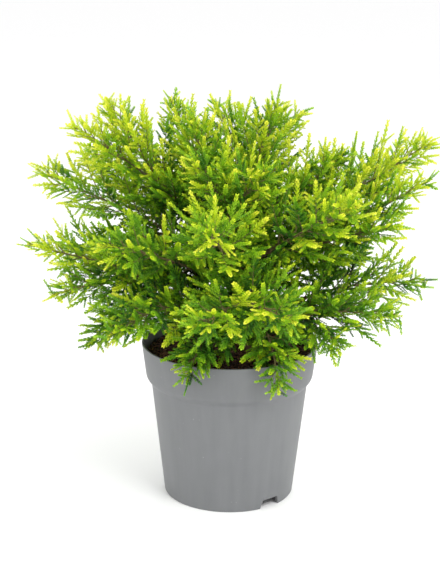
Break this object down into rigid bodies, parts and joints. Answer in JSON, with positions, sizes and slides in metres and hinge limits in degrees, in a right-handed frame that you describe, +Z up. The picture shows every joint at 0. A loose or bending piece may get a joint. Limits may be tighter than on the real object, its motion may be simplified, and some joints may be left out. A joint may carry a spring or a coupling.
{
  "type": "potted golden dwarf conifer",
  "caption": "Small bushy conifer with golden-tipped plumes of fine shoots on short spreading boughs, rooted in bark compost in a round grey nursery pot.",
  "frame": {"origin": "on the pot's axis at its flat underside, the bottom centre of the whole", "axes": "+Z up; +X to the right and -Y towards the viewer of the pictured side"},
  "size_m": [0.3867, 0.3536, 0.389],
  "materials": {
    "pot": "matt moulded grey plastic, lightly scuffed",
    "compost": "moist shredded bark",
    "bark": "rough flaking bark",
    "foliage_top": "fine golden-yellow shoots",
    "foliage_middle": "fine yellow-green shoots",
    "foliage_low": "fine green shoots"
  },
  "bodies": {
    "root": {"bough_lower_1": "bark", "bough_lower_3": "bark", "bough_lower_4": "bark", "bough_lower_6": "bark", "bough_lower_7": "bark", "bough_lower_8": "bark", "bough_lower_9": "bark", "bough_middle_1": "bark", "bough_middle_10": "bark", "bough_middle_2": "bark", "bough_middle_3": "bark", "bough_middle_4": "bark", "bough_middle_5": "bark", "bough_middle_6": "bark", "bough_middle_7": "bark", "bough_middle_8": "bark", "bough_middle_9": "bark", "bough_upper_1": "bark", "bough_upper_3": "bark", "bough_upper_4": "bark", "compost": "compost", "foliage_lower_1": "foliage_low", "foliage_lower_2": "foliage_low", "foliage_lower_3_a": "foliage_low", "foliage_lower_3_b": "foliage_low", "foliage_lower_4_a": "foliage_low", "foliage_lower_4_b": "foliage_low", "foliage_lower_5": "foliage_low", "foliage_lower_6_a": "foliage_low", "foliage_lower_6_b": "foliage_low", "foliage_lower_7": "foliage_low", "foliage_lower_8_a": "foliage_low", "foliage_lower_8_b": "foliage_low", "foliage_lower_9_a": "foliage_low", "foliage_lower_9_b": "foliage_low", "foliage_middle_1": "foliage_middle", "foliage_middle_10": "foliage_middle", "foliage_middle_2": "foliage_middle", "foliage_middle_3_a": "foliage_middle", "foliage_middle_3_b": "foliage_middle", "foliage_middle_4": "foliage_middle", "foliage_middle_5": "foliage_middle", "foliage_middle_6": "foliage_middle", "foliage_middle_7": "foliage_middle", "foliage_middle_8": "foliage_middle", "foliage_middle_9": "foliage_middle", "foliage_skirt_1": "foliage_low", "foliage_skirt_2": "foliage_low", "foliage_upper_1_a": "foliage_top", "foliage_upper_1_b": "foliage_top", "foliage_upper_2": "foliage_top", "foliage_upper_3_a": "foliage_top", "foliage_upper_3_b": "foliage_top", "foliage_upper_4_a": "foliage_top", "foliage_upper_4_b": "foliage_top", "foliage_upper_5": "foliage_top", "foliage_upper_6": "foliage_top", "foliage_upper_7": "foliage_top", "pot": "pot", "trunk": "bark"}
  },
  "joints": []
}
